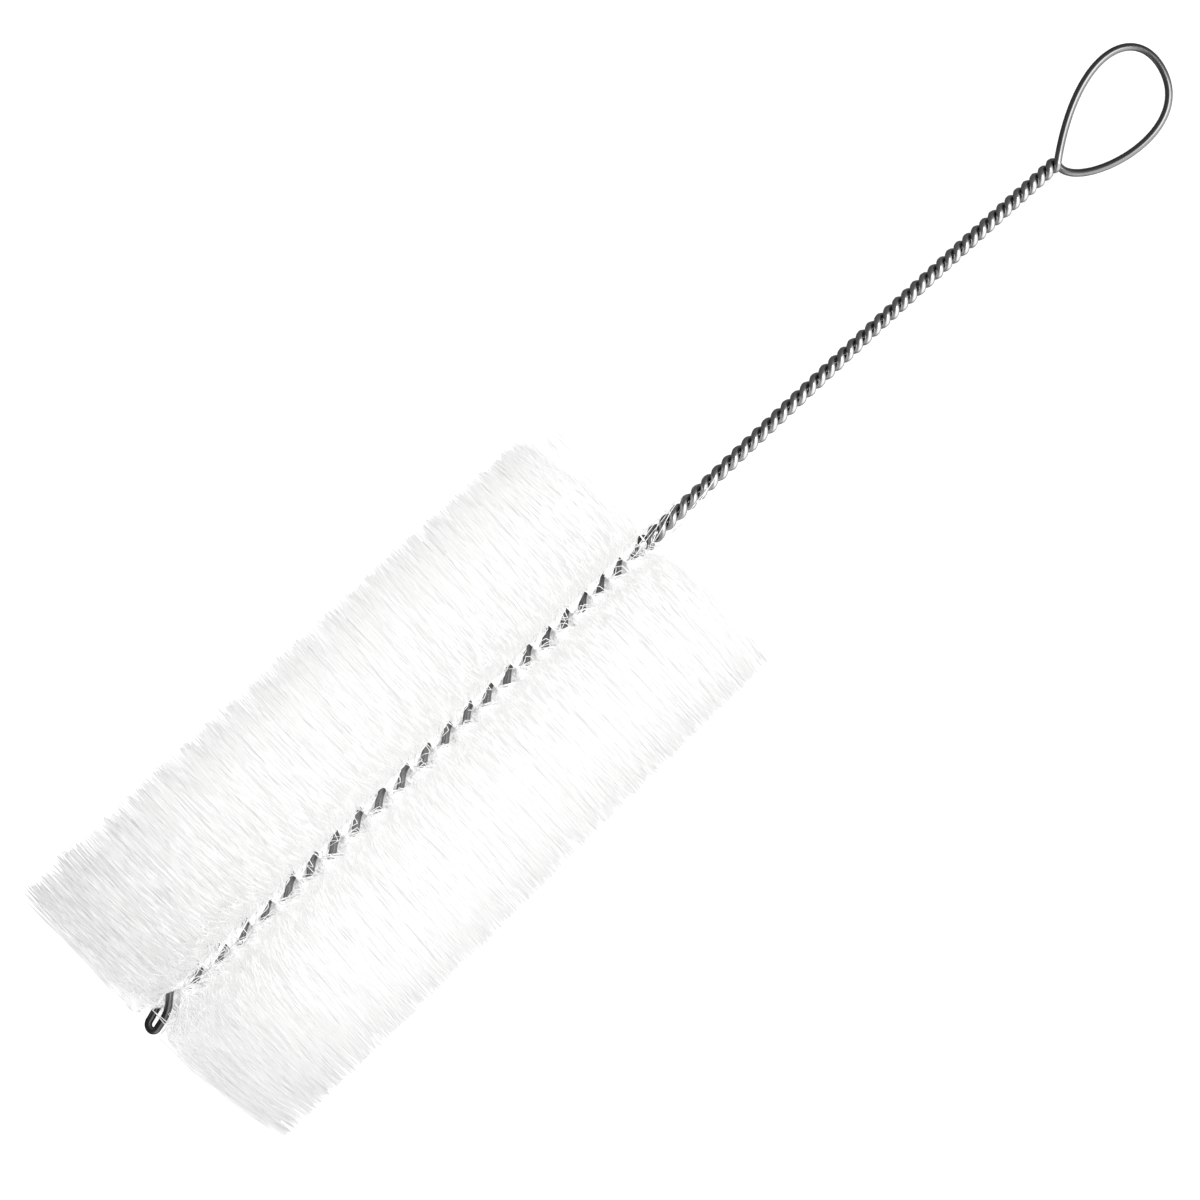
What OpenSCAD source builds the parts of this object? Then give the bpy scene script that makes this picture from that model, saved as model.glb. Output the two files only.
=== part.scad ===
// Bottle brush with a twisted wire core. One length of round wire is folded at the tip, its two legs
// are twisted together over double-ended filaments, and the handle end is bent into a ring.
// The brush lies on its filaments: +X runs from the tip to the ring, and +Z is up.

/* [Whole brush] */
// Length from the folded tip to the far side of the ring
overall_l = 267.4; // [220:0.1:400]
// Sideways bow of the wire at its middle
wire_bow = 2; // [0:0.5:3]
// Sideways swing of the wire's two halves about that bow
wire_swing = 0.4; // [0:0.1:1]

/* [Filaments] */
// Diameter over the filaments at the tip
bristle_tip_d = 66; // [40:1:100]
// Diameter over the filaments at the handle end of the fill
bristle_stem_d = 61; // [40:1:100]
// Length of wire that holds filaments
fill_l = 123.5; // [80:0.5:160]
// How far the first filaments lean over the tip
tip_lean = 5; // [0:0.5:7]
// How far the other filaments lean towards the handle
stem_lean = 1.5; // [0:0.5:4]
// Length of fill over which the lean changes
lean_l = 25; // [10:1:60]
// Tufts in one turn of the twist, odd so that the rows are staggered
tufts_per_turn = 23; // [15:2:29]
// Width of a tuft's free end, across the brush
tuft_w = 3.2; // [1:0.1:4]
// Length of a tuft's free end, along the brush
tuft_l = 2.8; // [1:0.1:4]
// Depth of the flat that the filaments take where they rest
flat_depth = 0.4; // [0.2:0.1:1.5]

/* [Wire] */
// Diameter of the wire
wire_d = 1.5; // [1:0.1:1.5]
// Space between the legs where filaments run through
fill_gap = 0.26; // [0.2:0.02:0.6]
// Space between the legs along the bare stem
stem_gap = 0.02; // [0.02:0.02:0.2]

/* [Twist] */
// Length of one turn at the tip
pitch_tip = 12.1; // [9:0.1:16]
// Length of one turn halfway along the fill
pitch_middle = 12; // [9:0.1:16]
// Length of one turn at the end of the fill
pitch_fill_end = 8.9; // [7:0.1:14]
// Length of one turn at the start of the bare stem
pitch_stem = 5.6; // [4.5:0.1:8]
// Length of one turn at the ring
pitch_neck = 4.15; // [4.1:0.05:7]
// Length over which the twist tightens past the fill
tighten_l = 6; // [3:0.5:15]

/* [Tip eye] */
// Length of the open fold at the tip
eye_l = 7.8; // [6.5:0.1:14]
// Width over the fold
eye_w = 4; // [3.8:0.1:6]

/* [Handle ring] */
// Width over the ring
ring_w = 18.7; // [14:0.1:22]
// Length from the last crossing of the legs to the far side of the ring
ring_l = 27.9; // [26:0.1:45]
// How far the far side of the ring stands off the line of the stem
ring_shift = -0.2; // [-2:0.1:2]
// Slant of the ring's far side
ring_slant_deg = 14.5; // [-20:0.5:20]
// Slant of the limb that comes from over the crossing
over_limb_deg = 41; // [30:1:60]
// Slant of the limb that comes from under the crossing
under_limb_deg = 75; // [50:1:75]
// How long the limb from over the crossing keeps its slant, as a share of the ring's length
over_limb_lead = 0.88; // [0.5:0.01:0.9]
// How long the limb from under the crossing keeps its slant, as a share of the ring's length
under_limb_lead = 0.3; // [0.2:0.01:0.5]
// How wide the first limb swells before the far side, as a share of the ring's length
over_limb_swell = 0.42; // [0.3:0.01:0.5]
// How wide the other limb swells before the far side, as a share of the ring's length
under_limb_swell = 0.6; // [0.3:0.01:0.7]
// Gap between the two cut ends of the wire, under the crossing
end_gap = 0.4; // [0.3:0.1:1]

/* [Hidden] */
bundles = 23;
wire_sides = 6;
twist_steps = 8;
limb_steps = 12;
fold_steps = 6;
eye_steps = 3;
clearance = 0.03;

// The legs are swept in straight steps, and it is the middle of a step that keeps the gap
wire_r = wire_d / 2;
fill_r = (wire_r + fill_gap / 2) / cos(180 / twist_steps);
stem_r = (wire_r + stem_gap / 2) / cos(180 / twist_steps);
eye_r = (eye_w - wire_d) / 2;

// Stations along the wire, measured from the tip
fold_s = eye_r + wire_r;
fill_s = eye_l;
fill_end_s = fill_s + fill_l;
fill_middle_s = fill_s + fill_l / 2;
stem_s = fill_end_s + tighten_l;
neck_s = overall_l - ring_l;

// A tuft is pinched between the legs
pinch = fill_gap - 2 * clearance;

// The envelope of the filaments is a cone, so the brush lies with its wire aslant
rim_s = fill_s - tip_lean;
rim_end_s = fill_end_s + stem_lean;
taper = (bristle_tip_d - bristle_stem_d) / 2 / (rim_end_s - rim_s);
lie_deg = atan(taper);
tip_rest_h = bristle_radius(0) - flat_depth;

function bundle_name(k) = str("bristle_bundle_", k < 9 ? "0" : "", k + 1);

function unit(v) = v / norm(v);
function ease(x) = let (u = min(max(x, 0), 1)) u * u * (3 - 2 * u);
function mix(a, b, x) = a + (b - a) * x;

// Radius of the cone over the filaments, and height of the wire's axis above what they rest on
function bristle_radius(s) = bristle_tip_d / 2 - taper * (s - rim_s);
function rest_height(s) = tip_rest_h - taper * s;

// The twist is left-handed. Its rate, in turns per millimetre, changes evenly between these stations
twist_s = [fold_s, fill_s, fill_middle_s, fill_end_s, stem_s, neck_s];
twist_rate = [0, 1 / pitch_tip, 1 / pitch_middle, 1 / pitch_fill_end, 1 / pitch_stem, 1 / pitch_neck];

// Turns of the twist from the fold to station s, and the station where a number of turns is reached
function turns_in(i, s) =
    let (a = twist_s[i], b = twist_s[i + 1], e = min(max(s, a), b))
    let (rate = mix(twist_rate[i], twist_rate[i + 1], (e - a) / (b - a)))
    (e - a) * (twist_rate[i] + rate) / 2;
function turns_to(s, i = 0) = i > len(twist_s) - 2 ? 0 : turns_in(i, s) + turns_to(s, i + 1);
function station(turns, low = fold_s, high = neck_s, halvings = 24) =
    let (middle = (low + high) / 2)
    halvings == 0 ? middle
    : turns_to(middle) < turns ? station(turns, middle, high, halvings - 1)
    : station(turns, low, middle, halvings - 1);

// Angle of the first leg about the axis, from +Y towards +Z: it is on top at the last crossing
function leg_angle(s) = 90 + 360 * (turns_to(neck_s) - turns_to(s));
function leg_radius(s) =
    s < fill_s ? mix(eye_r, fill_r, ease((s - fold_s) / (fill_s - fold_s)))
    : mix(fill_r, stem_r, ease((s - fill_end_s) / tighten_l));
function outward(angle) = [0, cos(angle), sin(angle)];
function on_axis(s) = [s, 0, 0];
function bowed(p) =
    let (a = 180 * p[0] / overall_l) p + [0, wire_bow * sin(a) - wire_swing * sin(2 * a), 0];

// Points of the wire's centre line: the legs, the fold at the tip and the handle ring
function leg_point(s, side) = on_axis(s) + leg_radius(s) * outward(leg_angle(s) + side);
function bezier(p, t) =
    pow(1 - t, 3) * p[0] + 3 * t * pow(1 - t, 2) * p[1] + 3 * t * t * (1 - t) * p[2] + pow(t, 3) * p[3];

fill_turns = turns_to(fill_end_s) - turns_to(fill_s);
all_turns = turns_to(neck_s) - turns_to(fill_s);
twist_rings = round(all_turns * twist_steps);
leg_stations = concat(
    [for (i = [0 : eye_steps - 1]) mix(fold_s, fill_s, i / eye_steps)],
    [for (i = [0 : twist_rings]) station(turns_to(fill_s) + all_turns * i / twist_rings)]);
leg_up = [for (s = leg_stations) leg_point(s, 180)];
leg_down = [for (i = [len(leg_stations) - 1 : -1 : 0]) leg_point(leg_stations[i], 0)];

// The fold is a half circle in the plane of the two legs
fold = [for (i = [1 : fold_steps - 1])
    let (a = 180 * i / fold_steps)
    on_axis(fold_s - eye_r * sin(a)) + eye_r * cos(a) * outward(leg_angle(fold_s))];

// The ring is two limbs that meet at its far side, of which the upper one runs on from the first leg
far_side = [ring_l, ring_shift, 0];
far_slant = [sin(ring_slant_deg), cos(ring_slant_deg), 0];
function limb(side, height, start, slant, lead, swell) =
    let (ahead = [cos(slant), side * sin(slant), 0])
    let (crossing = [0, 0, height] + start * ahead)
    let (bends = [crossing, crossing + lead * ring_l * ahead, far_side + side * swell * ring_l * far_slant, far_side])
    [for (i = [0 : limb_steps - 1]) bezier(bends, i / limb_steps)];
over_limb = limb(1, stem_r, 0, over_limb_deg, over_limb_lead, over_limb_swell);
under_limb = limb(-1, -stem_r, end_gap, under_limb_deg, under_limb_lead, under_limb_swell);
ring_curve = concat(under_limb, [far_side], [for (i = [limb_steps - 1 : -1 : 1]) over_limb[i]]);

// The limbs are stretched to the ring's length and width
along_ring = [for (p = ring_curve) p[0]];
across_ring = [for (p = ring_curve) p[1]];
ring_stretch = [
    (ring_l - wire_r) / max(along_ring), (ring_w - wire_d) / (max(across_ring) - min(across_ring)), 1];
handle_ring = [for (p = ring_curve) on_axis(neck_s) + [for (i = [0 : 2]) ring_stretch[i] * p[i]]];

wire_path = [for (p = concat(handle_ring, leg_down, fold, leg_up)) bowed(p)];
wire_end = len(wire_path) - 1;
function ahead(i) = unit(wire_path[min(i + 1, wire_end)] - wire_path[max(i - 1, 0)]);
function square_to(v, along) = unit(v - (v * along) * along);

// One side of the section is carried along the path without turning about it
wire_side = [
    for (i = 0, side = square_to([0, 0, 1], ahead(0)); i <= wire_end;
        i = i + 1, side = i > wire_end ? side : square_to(side, ahead(i))) side];
function wire_section(i) =
    let (beside = cross(ahead(i), wire_side[i]))
    [for (k = [0 : wire_sides - 1])
        let (a = 360 * (k + 0.5) / wire_sides)
        wire_path[i] + wire_r * (cos(a) * wire_side[i] + sin(a) * beside)];

module twisted_wire() {
    n = wire_sides;
    points = [for (i = [0 : wire_end]) each wire_section(i)];
    sides = [for (i = [0 : wire_end - 1], k = [0 : n - 1])
        let (a = i * n + k, b = i * n + (k + 1) % n)
        each [[a, a + n, b], [b, a + n, b + n]]];
    ends = [[for (k = [0 : n - 1]) k], [for (k = [n - 1 : -1 : 0]) wire_end * n + k]];
    color("silver") as_laid() polyhedron(points, concat(sides, ends));
}

// A tuft is a bunch of filaments, held at its middle and free at both ends. Its section is a rectangle,
// whose corners are named by their sides along and across the brush
corners = [[-1, -1], [1, -1], [1, 1], [-1, 1]];
function lean(s) = mix(-tip_lean, stem_lean, 1 - pow(max(0, 1 - (s - fill_s) / lean_l), 2));
function reach(s, angle, side_z) =
    sin(angle) < 0 ? min(bristle_radius(s), -(rest_height(s) + side_z) / sin(angle)) : bristle_radius(s);
function tuft_corner(s, angle, across, along, width) =
    let (side = width * outward(across))
    bowed([s + along, 0, 0] + side + reach(s + along, angle, side[2]) * outward(angle));
function tuft_end(s, angle, across) =
    [for (c = corners)
        tuft_corner(s + lean(s), angle, across, c[0] * tuft_l / 2, c[1] * tuft_w / 2)];
function tuft_middle(s, across) =
    [for (c = corners)
        bowed([s + c[0] * pinch / 2, 0, 0] + c[1] * pinch / 2 * outward(across))];

module tuft(s) {
    angle = leg_angle(s) + 90;
    points = concat(
        tuft_end(s, angle, angle + 90), tuft_middle(s, angle + 90), tuft_end(s, angle + 180, angle + 90));
    sides = [for (row = [0, 4], k = [0 : 3])
        let (a = row + k, b = row + (k + 1) % 4) each [[a, b + 4, b], [a, a + 4, b + 4]]];
    ends = [[0, 1, 2], [0, 2, 3], [8, 10, 9], [8, 11, 10]];
    polyhedron(points, concat(sides, ends));
}

// The tufts are spread evenly over the turns of the fill, and each bundle has its share of them
tufts = floor(fill_turns * tufts_per_turn);
module bristle_bundle(k) {
    first = floor(k * tufts / bundles);
    beyond = floor((k + 1) * tufts / bundles);
    color("ghostwhite") as_laid()
        for (i = [first : beyond - 1])
            tuft(station(turns_to(fill_s) + (i + 0.5) / tufts * fill_turns));
}

// Puts the brush on its filaments, with the middle of its length over the origin
module as_laid()
    translate([-overall_l / 2 * cos(lie_deg), 0, tip_rest_h * cos(lie_deg)])
        rotate([0, lie_deg, 0])
            children();

twisted_wire();
for (k = [0 : bundles - 1])
    bristle_bundle(k);
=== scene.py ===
"""Dresses the bottle brush: a smooth twisted wire with its ring, and the nylon filaments that it holds."""

import logging
import math
from dataclasses import dataclass, field
from enum import Enum

import bpy
import numpy as np
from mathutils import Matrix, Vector


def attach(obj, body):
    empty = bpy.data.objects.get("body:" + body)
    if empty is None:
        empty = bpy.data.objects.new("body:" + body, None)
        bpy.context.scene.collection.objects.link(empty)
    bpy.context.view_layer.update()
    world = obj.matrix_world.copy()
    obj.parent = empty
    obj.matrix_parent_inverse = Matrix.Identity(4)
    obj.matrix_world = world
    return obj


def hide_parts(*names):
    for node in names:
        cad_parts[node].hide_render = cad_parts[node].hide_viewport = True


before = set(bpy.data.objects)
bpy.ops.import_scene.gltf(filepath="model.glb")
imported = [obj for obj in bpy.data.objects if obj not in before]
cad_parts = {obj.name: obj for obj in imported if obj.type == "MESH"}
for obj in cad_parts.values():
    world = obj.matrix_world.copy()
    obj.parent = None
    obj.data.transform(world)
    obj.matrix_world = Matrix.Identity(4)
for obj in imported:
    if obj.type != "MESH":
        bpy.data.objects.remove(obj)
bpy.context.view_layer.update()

BODY = "root"
log = logging.getLogger("bottle_brush")

Array = np.ndarray
Random = np.random.Generator
Socket = bpy.types.NodeSocket
Material = bpy.types.Material
Object = bpy.types.Object
Pair = tuple[float, float]
Triple = tuple[float, float, float]
Colour = tuple[float, float, float, float]
Row = tuple[float, ...]
Stops = tuple[Pair, ...]


def eased(x: Array, start: float, end: float) -> Array:
    """Eases from 0 to 1 as x goes from start to end, of which either may be the greater."""
    u = np.clip((x - start) / (end - start), 0.0, 1.0)
    return u * u * (3.0 - 2.0 * u)


def mix(a: Array, b: Array, x: Array) -> Array:
    """The value that lies a share x of the way from a to b."""
    return a + (b - a) * x


def radial(angle: Array) -> Array:
    """Unit vectors square to the wire at angles from +Y towards +Z."""
    angle = np.asarray(angle, dtype=float)
    return np.stack([np.zeros_like(angle), np.cos(angle), np.sin(angle)], axis=-1)


def along(s: Array) -> Array:
    """Points of the brush's axis at stations s."""
    s = np.asarray(s, dtype=float)
    return np.stack([s, np.zeros_like(s), np.zeros_like(s)], axis=-1)


def grey(tone: float) -> Colour:
    """The colour of a grey tone."""
    return (tone, tone, tone, 1.0)


# Sizes that the wire and the filaments share


@dataclass(frozen=True)
class BrushSizes:
    """Driving sizes of the brush, in metres, with stations measured along the wire from the tip.

    The wire bows to +Y over its whole length and swings about that bow. Its first stretch is knocked aside by
    tip_kick about station kick_s, and its very tip is turned back by tip_turn.
    """

    overall_l: float = 0.2674
    wire_bow: float = 0.002
    wire_swing: float = 0.0004
    tip_kick: float = 0.0015
    kick_s: float = 0.0085
    kick_l: float = 0.0038
    kick_r: float = 0.004
    tip_turn: float = 0.0005
    turn_l: float = 0.0045
    wire_r: float = 0.00075
    bristle_tip_d: float = 0.066
    bristle_stem_d: float = 0.061
    fill_s: float = 0.0078
    fill_l: float = 0.1235
    tip_lean: float = 0.005
    stem_lean: float = 0.0015
    flat_depth: float = 0.0004
    bundles: int = 23

    @property
    def fill_end_s(self) -> float:
        """Station where the filaments end."""
        return self.fill_s + self.fill_l

    @property
    def rim_s(self) -> float:
        """Station of the first filament ends."""
        return self.fill_s - self.tip_lean

    @property
    def taper(self) -> float:
        """How much the envelope's radius shrinks for each metre of length."""
        rim_l = self.fill_end_s + self.stem_lean - self.rim_s
        return (self.bristle_tip_d - self.bristle_stem_d) / 2 / rim_l

    def bristle_radius(self, s: Array) -> Array:
        """Radius of the envelope over the filaments at station s."""
        return self.bristle_tip_d / 2 - self.taper * (s - self.rim_s)

    def kicked(self, s: Array) -> Array:
        """How far the wire's first stretch is knocked to +Y at station s."""
        turned_back = self.tip_turn * (1 - eased(s, 0.0, self.turn_l))
        return self.tip_kick * np.exp(-(((s - self.kick_s) / self.kick_l) ** 2)) - turned_back

    def to_row(self, points: Array) -> Array:
        """Lays points of the straight brush on its filaments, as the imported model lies.

        Args:
            points: (..., 3) station, sideways and upward distances, in metres.

        Returns:
            The same points in the row frame. The kick at the tip fades away from the wire.
        """
        lie = math.atan(self.taper)
        height = (self.bristle_radius(0.0) - self.flat_depth) * math.cos(lie)
        s, y, z = points[..., 0], points[..., 1], points[..., 2]
        bend = math.pi * s / self.overall_l
        bowed = y + self.wire_bow * np.sin(bend) - self.wire_swing * np.sin(2 * bend)
        bowed = bowed + self.kicked(s) * np.exp(-(y**2 + z**2) / self.kick_r**2)
        x = (s - self.overall_l / 2) * math.cos(lie) + z * math.sin(lie)
        return np.stack([x, bowed, height - s * math.sin(lie) + z * math.cos(lie)], axis=-1)


@dataclass
class Twist:
    """The left-hand twist of the two legs: its rate changes evenly between stations."""

    sizes: BrushSizes
    pitch_tip: float = 0.0121
    pitch_middle: float = 0.0120
    pitch_fill_end: float = 0.0089
    pitch_stem: float = 0.0056
    pitch_neck: float = 0.00415
    tighten_l: float = 0.006
    eye_r: float = 0.0011
    fill_r: float = 0.0015
    stem_r: float = 0.00078
    ring_l: float = 0.0279
    table_steps: int = 20001
    stations: Array = field(init=False)
    turns: Array = field(init=False)

    def __post_init__(self) -> None:
        """Adds up the turns of the twist along the wire."""
        sizes = self.sizes
        knots = (
            (self.fold_s, math.inf),
            (sizes.fill_s, self.pitch_tip),
            (sizes.fill_s + sizes.fill_l / 2, self.pitch_middle),
            (sizes.fill_end_s, self.pitch_fill_end),
            (self.tight_s, self.pitch_stem),
            (self.neck_s, self.pitch_neck),
        )
        self.stations = np.linspace(self.fold_s, self.neck_s, self.table_steps)
        rate = np.interp(self.stations, [s for s, _ in knots], [1 / pitch for _, pitch in knots])
        step = self.stations[1] - self.stations[0]
        self.turns = np.concatenate([[0.0], np.cumsum((rate[1:] + rate[:-1]) / 2 * step)])

    @property
    def fold_s(self) -> float:
        """Station of the centre of the fold at the tip."""
        return self.eye_r + self.sizes.wire_r

    @property
    def tight_s(self) -> float:
        """Station from which the legs are tight on the stem."""
        return self.sizes.fill_end_s + self.tighten_l

    @property
    def neck_s(self) -> float:
        """Station of the last crossing of the legs."""
        return self.sizes.overall_l - self.ring_l

    def turns_to(self, s: Array) -> Array:
        """Turns of the twist from the fold to station s."""
        return np.interp(s, self.stations, self.turns)

    def station_at(self, turns: Array) -> Array:
        """Station where the twist has made a number of turns."""
        return np.interp(turns, self.turns, self.stations)

    def leg_angle(self, s: Array) -> Array:
        """Angle of the first leg about the axis, in radians: it is on top at the last crossing."""
        return math.pi / 2 + math.tau * (self.turns[-1] - self.turns_to(s))

    def leg_radius(self, s: Array) -> Array:
        """Distance from the axis to the middle of a leg, which opens past the eye and closes on the stem."""
        opened = mix(self.eye_r, self.fill_r, eased(s, self.fold_s, self.sizes.fill_s))
        return mix(opened, self.stem_r, eased(s, self.sizes.fill_end_s, self.tight_s))


# Finishes


class Slot(Enum):
    """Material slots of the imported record."""

    STEEL = "wire_steel"
    NYLON = "white_nylon"


@dataclass
class NodeBench:
    """Places and links nodes in one node tree."""

    tree: bpy.types.NodeTree

    def add(self, kind: str, **values: object) -> bpy.types.Node:
        """Adds a node and sets its properties, or feeds its inputs where a name is an input's.

        Args:
            kind: Blender's node type.
            **values: properties, or sockets and values for inputs, with spaces written as underscores.

        Returns:
            The new node.
        """
        node = self.tree.nodes.new(kind)
        for name, value in values.items():
            if hasattr(node, name):
                setattr(node, name, value)
            else:
                self.feed(node.inputs[name.replace("_", " ")], value)
        return node

    def feed(self, into: Socket, value: Socket | float | Triple | Colour) -> None:
        """Links a socket into an input, or sets the input to a plain value.

        Args:
            into: the input.
            value: the socket or the value.
        """
        if isinstance(value, Socket):
            self.tree.links.new(value, into)
        else:
            into.default_value = value

    def reckon(self, operation: str, *values: float | Socket) -> Socket:
        """Works out one step of arithmetic.

        Args:
            operation: Blender's name for it.
            *values: what goes in, in order.

        Returns:
            The result.
        """
        node = self.add("ShaderNodeMath", operation=operation)
        for into, value in zip(node.inputs, values):
            self.feed(into, value)
        return node.outputs[0]

    def remap(self, value: Socket, span: Pair, to: Pair = (0.0, 1.0)) -> Socket:
        """Maps a value from one span to another, and holds it at their ends."""
        ends = {"From_Min": span[0], "From_Max": span[1], "To_Min": to[0], "To_Max": to[1]}
        return self.add("ShaderNodeMapRange", Value=value, **ends).outputs["Result"]

    def parts(self, vector: Socket) -> bpy.types.NodeOutputs:
        """Takes a vector apart into its X, Y and Z."""
        return self.add("ShaderNodeSeparateXYZ", Vector=vector).outputs

    def greys(self, value: Socket, stops: Stops) -> Socket:
        """Turns a value into greys.

        Args:
            value: a place on the ramp, from 0 to 1.
            stops: place and tone of each stop, the ramp's own two first.

        Returns:
            The tone at that place.
        """
        node = self.add("ShaderNodeValToRGB", Fac=value)
        marks = node.color_ramp.elements
        for number, (at, tone) in enumerate(stops):
            mark = marks[number] if number < 2 else marks.new(at)
            mark.position = at
            mark.color = grey(tone)
        return node.outputs["Color"]

    def vary(self, vector: Socket, scale: float, middle: float | Socket, amount: float | Socket) -> Socket:
        """Adds the grain that the finishes share: a value that wanders about a middle by an amount."""
        values = {"Vector": vector, "Scale": scale, "Middle": middle, "Amount": amount}
        return self.add("ShaderNodeGroup", node_tree=wandering_value(), **values).outputs["Value"]


def wandering_value() -> bpy.types.NodeTree:
    """A grain that steel and nylon share: a value that wanders about a middle.

    Returns:
        The node group, with Vector, Scale, Middle and Amount in and Value out.
    """
    name = "wandering_value"
    if name in bpy.data.node_groups:
        return bpy.data.node_groups[name]
    group = bpy.data.node_groups.new(name, "ShaderNodeTree")
    group.interface.new_socket("Vector", in_out="INPUT", socket_type="NodeSocketVector")
    for socket in ("Scale", "Middle", "Amount"):
        group.interface.new_socket(socket, in_out="INPUT", socket_type="NodeSocketFloat")
    group.interface.new_socket("Value", in_out="OUTPUT", socket_type="NodeSocketFloat")
    bench = NodeBench(group)
    entry = bench.add("NodeGroupInput").outputs
    noise = bench.add("ShaderNodeTexNoise", Detail=3.0, Vector=entry["Vector"], Scale=entry["Scale"])
    centred = bench.reckon("SUBTRACT", noise.outputs["Fac"], 0.5)
    value = bench.reckon("MULTIPLY_ADD", centred, entry["Amount"], entry["Middle"])
    bench.add("NodeGroupOutput", Value=value)
    return group


def fresh_material(name: str, **values: float | Colour) -> tuple[Material, NodeBench, bpy.types.NodeInputs]:
    """A new material with only its shader and output.

    Args:
        name: the finish's name.
        **values: plain values of the shader's inputs, with spaces written as underscores.

    Returns:
        The material, the bench for its nodes and the inputs of its Principled shader.
    """
    material = bpy.data.materials.new(name)
    material.use_nodes = True
    shader = material.node_tree.nodes["Principled BSDF"].inputs
    for socket, value in values.items():
        shader[socket.replace("_", " ")].default_value = value
    return material, NodeBench(material.node_tree), shader


@dataclass(frozen=True)
class DrawnSteel:
    """Bright steel wire with fine marks of the die, and painted shade and reflection that darken it at the
    eye, inside the fill and at the ring.

    Its painted shade is a list of places along the brush and the tone of the steel there, the two ends first.
    """

    # painted shade and reflection: tones of the steel along the brush, darker at the eye, in the fill and at
    # the ring
    painted_shade: Stops = (
        (-0.130, 0.07), (0.108, 0.16), (-0.122, 0.23), (-0.050, 0.23),
        (-0.020, 0.14), (-0.004, 0.14), (0.006, 0.38), (0.102, 0.38),
    )
    roughness: float = 0.21
    roughness_change: float = 0.16
    patch_scale: float = 260.0
    mark_scale: float = 12.0
    mark_strength: float = 0.25
    mark_depth: float = 0.00001
    stretch: Triple = (60.0, 1.0, 1.0)

    def make(self) -> Material:
        """Builds the finish. The marks of the die follow the wire's own UV map.

        Returns:
            The material.
        """
        material, bench, shader = fresh_material("drawn_steel", Metallic=1.0)
        place = bench.add("ShaderNodeTexCoord").outputs
        # painted shade and reflection: the steel's colour darkens by its place along the brush
        first, last = self.painted_shade[0][0], self.painted_shade[1][0]
        share = bench.remap(bench.parts(place["Object"])["X"], (first, last))
        stops = tuple(((x - first) / (last - first), tone) for x, tone in self.painted_shade)
        bench.feed(shader["Base Color"], bench.greys(share, stops))
        rough = bench.vary(place["Object"], self.patch_scale, self.roughness, self.roughness_change)
        bench.feed(shader["Roughness"], rough)
        stretched = bench.add("ShaderNodeMapping", Scale=self.stretch, Vector=place["UV"])
        marks = bench.vary(stretched.outputs["Vector"], self.mark_scale, 0.5, 1.0)
        marked = {"Strength": self.mark_strength, "Distance": self.mark_depth, "Height": marks}
        bench.feed(shader["Normal"], bench.add("ShaderNodeBump", **marked).outputs["Normal"])
        return material


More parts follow.
